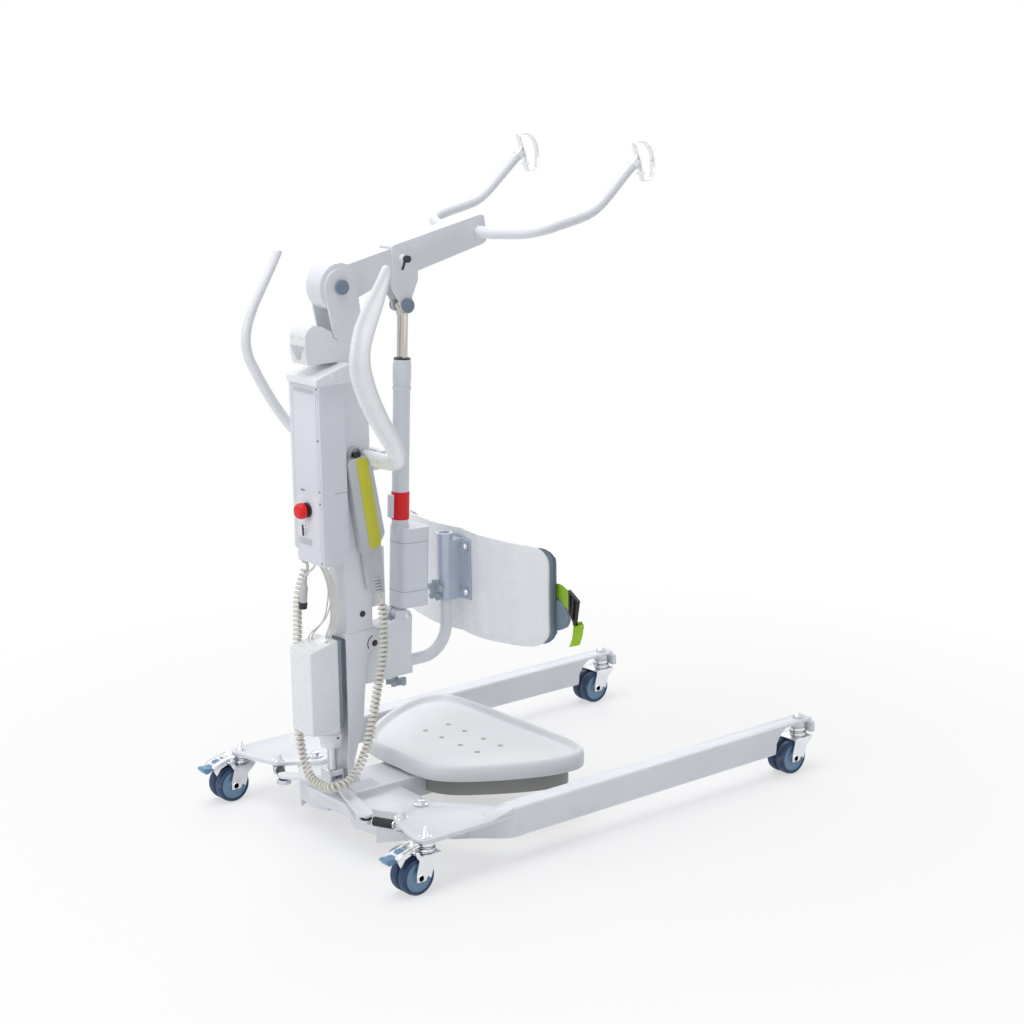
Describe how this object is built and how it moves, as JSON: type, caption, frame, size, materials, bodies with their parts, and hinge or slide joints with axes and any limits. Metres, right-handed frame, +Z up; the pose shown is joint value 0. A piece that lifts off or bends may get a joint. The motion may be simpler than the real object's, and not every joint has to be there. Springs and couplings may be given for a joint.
{
  "type": "sit to stand lift",
  "caption": "Wheeled patient lift with spreading legs, footplate, padded leg support, mast, powered lifting boom with sling hooks, push handles and a corded handset.",
  "frame": {"origin": "centre of the bounding box in plan, on the floor under the tyres", "axes": "+X towards the open ends of the legs, where the patient stands; +Y to the lift's left side; +Z up"},
  "size_m": [1.162, 0.73, 1.392],
  "materials": {
    "powder_white": "satin white powder coat",
    "leg_white": "satin white powder coat",
    "bright_steel": "bright zinc plate",
    "chrome": "polished",
    "steel": "satin",
    "tyre_navy": "satin",
    "hub_blue": "satin",
    "pedal_blue": "satin",
    "cap_blue_grey": "satin",
    "white_plastic": "gloss",
    "box_plastic": "satin",
    "carrier_grey": "satin",
    "black_plastic": "matt",
    "black_rubber": "matt",
    "red_plastic": "gloss",
    "knob_grey": "matt",
    "pad_vinyl": "satin vinyl",
    "strap_green": "webbing",
    "handset_grey": "satin",
    "cord_cream": "satin"
  },
  "bodies": {
    "base": {"base_frame": "powder_white", "leg_pivot_bolts": "steel", "footplate": "white_plastic", "footplate_carrier": "carrier_grey", "base_actuator_cover": "white_plastic", "mast_lower": "powder_white", "mast_upper": "powder_white", "head_cowl": "white_plastic", "push_handle_right": "white_plastic", "push_handle_left": "white_plastic", "control_box": "box_plastic", "control_cap": "white_plastic", "estop_collar": "black_plastic", "pivot_pin": "cap_blue_grey", "support_bracket": "powder_white", "handset": "handset_grey", "handset_cord": "cord_cream", "box_leads": "cord_cream"},
    "leg_r": {"right_leg": "leg_white"},
    "leg_l": {"left_leg": "leg_white"},
    "tie_r": {"tie_rod_right": "steel", "tie_sleeve_right": "black_rubber"},
    "tie_l": {"tie_rod_left": "steel", "tie_sleeve_left": "black_rubber"},
    "spreader": {"base_actuator_rod": "steel"},
    "bar_r": {"link_right": "powder_white"},
    "bar_l": {"link_left": "powder_white"},
    "swivel_rr": {"fork_rr": "bright_steel"},
    "swivel_rl": {"fork_rl": "bright_steel"},
    "swivel_fr": {"fork_fr": "bright_steel"},
    "swivel_fl": {"fork_fl": "bright_steel"},
    "wheel_rr": {"hub_rr": "hub_blue", "tyre_rr": "tyre_navy"},
    "wheel_rl": {"hub_rl": "hub_blue", "tyre_rl": "tyre_navy"},
    "wheel_fr": {"hub_fr": "hub_blue", "tyre_fr": "tyre_navy"},
    "wheel_fl": {"hub_fl": "hub_blue", "tyre_fl": "tyre_navy"},
    "brake_r": {"pedal_right": "pedal_blue"},
    "brake_l": {"pedal_left": "pedal_blue"},
    "stop_button": {"estop_button": "red_plastic"},
    "boom": {"boom_beam": "powder_white", "clevis_caps": "cap_blue_grey"},
    "sleeve": {"boom_sleeve": "powder_white", "sling_arms": "powder_white", "sling_hooks": "chrome"},
    "plunger": {"plunger_knob": "black_plastic"},
    "actuator": {"actuator_housing": "box_plastic", "actuator_tube": "box_plastic"},
    "ram": {"actuator_rod": "chrome"},
    "grip": {"release_grip": "red_plastic"},
    "support": {"support_tube": "powder_white"},
    "leg_rest": {"support_rail": "steel", "leg_shell": "white_plastic", "knee_pad": "pad_vinyl", "calf_strap": "strap_green", "strap_buckle": "black_plastic"},
    "height_knob": {"knob_height": "knob_grey"},
    "depth_knob": {"knob_depth": "knob_grey"}
  },
  "joints": [
    {"name": "right_leg_splay", "type": "hinge", "parent": "base", "child": "leg_r", "pos_m": [-0.381, -0.19, 0.1], "axis": [0, 0, -1], "range_deg": [0, 10]},
    {"name": "left_leg_splay", "type": "hinge", "parent": "base", "child": "leg_l", "pos_m": [-0.381, 0.19, 0.1], "axis": [0, 0, 1], "range_deg": [0, 10]},
    {"name": "tie_right_turn", "type": "hinge", "parent": "leg_r", "child": "tie_r", "pos_m": [-0.453, -0.222, 0.088], "axis": [0, 0, 1], "range_deg": [0, 6.5]},
    {"name": "tie_left_turn", "type": "hinge", "parent": "leg_l", "child": "tie_l", "pos_m": [-0.453, 0.222, 0.088], "axis": [0, 0, -1], "range_deg": [0, 6.5]},
    {"name": "spreader_stroke", "type": "slide", "parent": "base", "child": "spreader", "axis": [0, 0, 1], "range_m": [0, 0.038]},
    {"name": "bar_right_turn", "type": "hinge", "parent": "spreader", "child": "bar_r", "pos_m": [-0.465, -0.009, 0.122], "axis": [1, 0, 0], "range_deg": [0, 16.2]},
    {"name": "bar_left_turn", "type": "hinge", "parent": "spreader", "child": "bar_l", "pos_m": [-0.465, 0.009, 0.122], "axis": [-1, 0, 0], "range_deg": [0, 16.2]},
    {"name": "caster_rr_swivel", "type": "hinge", "parent": "leg_r", "child": "swivel_rr", "pos_m": [-0.477, -0.334, 0.09], "axis": [0, 0, 1], "continuous": true},
    {"name": "wheel_rr_spin", "type": "hinge", "parent": "swivel_rr", "child": "wheel_rr", "pos_m": [-0.511, -0.334, 0.0375], "axis": [0, 1, 0], "continuous": true},
    {"name": "caster_rl_swivel", "type": "hinge", "parent": "leg_l", "child": "swivel_rl", "pos_m": [-0.477, 0.334, 0.09], "axis": [0, 0, 1], "continuous": true},
    {"name": "wheel_rl_spin", "type": "hinge", "parent": "swivel_rl", "child": "wheel_rl", "pos_m": [-0.511, 0.334, 0.0375], "axis": [0, 1, 0], "continuous": true},
    {"name": "caster_fr_swivel", "type": "hinge", "parent": "leg_r", "child": "swivel_fr", "pos_m": [0.55, -0.332, 0.09], "axis": [0, 0, 1], "continuous": true},
    {"name": "wheel_fr_spin", "type": "hinge", "parent": "swivel_fr", "child": "wheel_fr", "pos_m": [0.516, -0.332, 0.0375], "axis": [0, 1, 0], "continuous": true},
    {"name": "caster_fl_swivel", "type": "hinge", "parent": "leg_l", "child": "swivel_fl", "pos_m": [0.55, 0.332, 0.09], "axis": [0, 0, 1], "continuous": true},
    {"name": "wheel_fl_spin", "type": "hinge", "parent": "swivel_fl", "child": "wheel_fl", "pos_m": [0.516, 0.332, 0.0375], "axis": [0, 1, 0], "continuous": true},
    {"name": "brake_right_press", "type": "hinge", "parent": "swivel_rr", "child": "brake_r", "pos_m": [-0.517, -0.334, 0.0865], "axis": [0, -1, 0], "range_deg": [0, 6], "stiffness_Nm_per_rad": 6},
    {"name": "brake_left_press", "type": "hinge", "parent": "swivel_rl", "child": "brake_l", "pos_m": [-0.517, 0.334, 0.0865], "axis": [0, -1, 0], "range_deg": [0, 6], "stiffness_Nm_per_rad": 6},
    {"name": "stop_button_press", "type": "slide", "parent": "base", "child": "stop_button", "axis": [1, 0, 0], "range_m": [0, 0.004], "stiffness_N_per_m": 1500},
    {"name": "boom_lift", "type": "hinge", "parent": "base", "child": "boom", "pos_m": [-0.424, 0, 1.137], "axis": [0, -1, 0], "range_deg": [-25, 30]},
    {"name": "boom_reach", "type": "slide", "parent": "boom", "child": "sleeve", "axis": [0.9763, 0, 0.2164], "range_m": [0, 0.06]},
    {"name": "reach_plunger", "type": "slide", "parent": "sleeve", "child": "plunger", "axis": [0, -1, 0], "range_m": [0, 0.006], "stiffness_N_per_m": 800},
    {"name": "actuator_tilt", "type": "hinge", "parent": "base", "child": "actuator", "pos_m": [-0.289, 0, 0.446], "axis": [0, 1, 0], "range_deg": [-2, 2.2]},
    {"name": "actuator_stroke", "type": "slide", "parent": "actuator", "child": "ram", "axis": [0.047, 0, 0.9989], "range_m": [-0.0712, 0.0854]},
    {"name": "release_pull", "type": "slide", "parent": "actuator", "child": "grip", "axis": [0.047, 0, 0.9989], "range_m": [0, 0.012], "stiffness_N_per_m": 600},
    {"name": "support_depth", "type": "slide", "parent": "base", "child": "support", "axis": [1, 0, 0], "range_m": [-0.02, 0.05]},
    {"name": "support_height", "type": "slide", "parent": "support", "child": "leg_rest", "axis": [0, 0, 1], "range_m": [-0.03, 0]},
    {"name": "height_knob_turn", "type": "hinge", "parent": "leg_rest", "child": "height_knob", "pos_m": [-0.188, 0, 0.478], "axis": [-1, 0, 0], "range_deg": [0, 180]},
    {"name": "depth_knob_turn", "type": "hinge", "parent": "base", "child": "depth_knob", "pos_m": [-0.298, 0, 0.306], "axis": [0, 0, -1], "range_deg": [0, 180]}
  ],
  "couplings": [
    {"joint": "left_leg_splay", "follows": "right_leg_splay", "ratio": 1},
    {"joint": "tie_right_turn", "follows": "right_leg_splay", "ratio": 0.645},
    {"joint": "tie_left_turn", "follows": "right_leg_splay", "ratio": 0.645},
    {"joint": "spreader_stroke", "follows": "right_leg_splay", "m_per_rad": 0.21601},
    {"joint": "bar_right_turn", "follows": "right_leg_splay", "ratio": 1.605},
    {"joint": "bar_left_turn", "follows": "right_leg_splay", "ratio": 1.605},
    {"joint": "actuator_tilt", "follows": "boom_lift", "ratio": 0.065},
    {"joint": "actuator_stroke", "follows": "boom_lift", "m_per_rad": 0.1616}
  ]
}
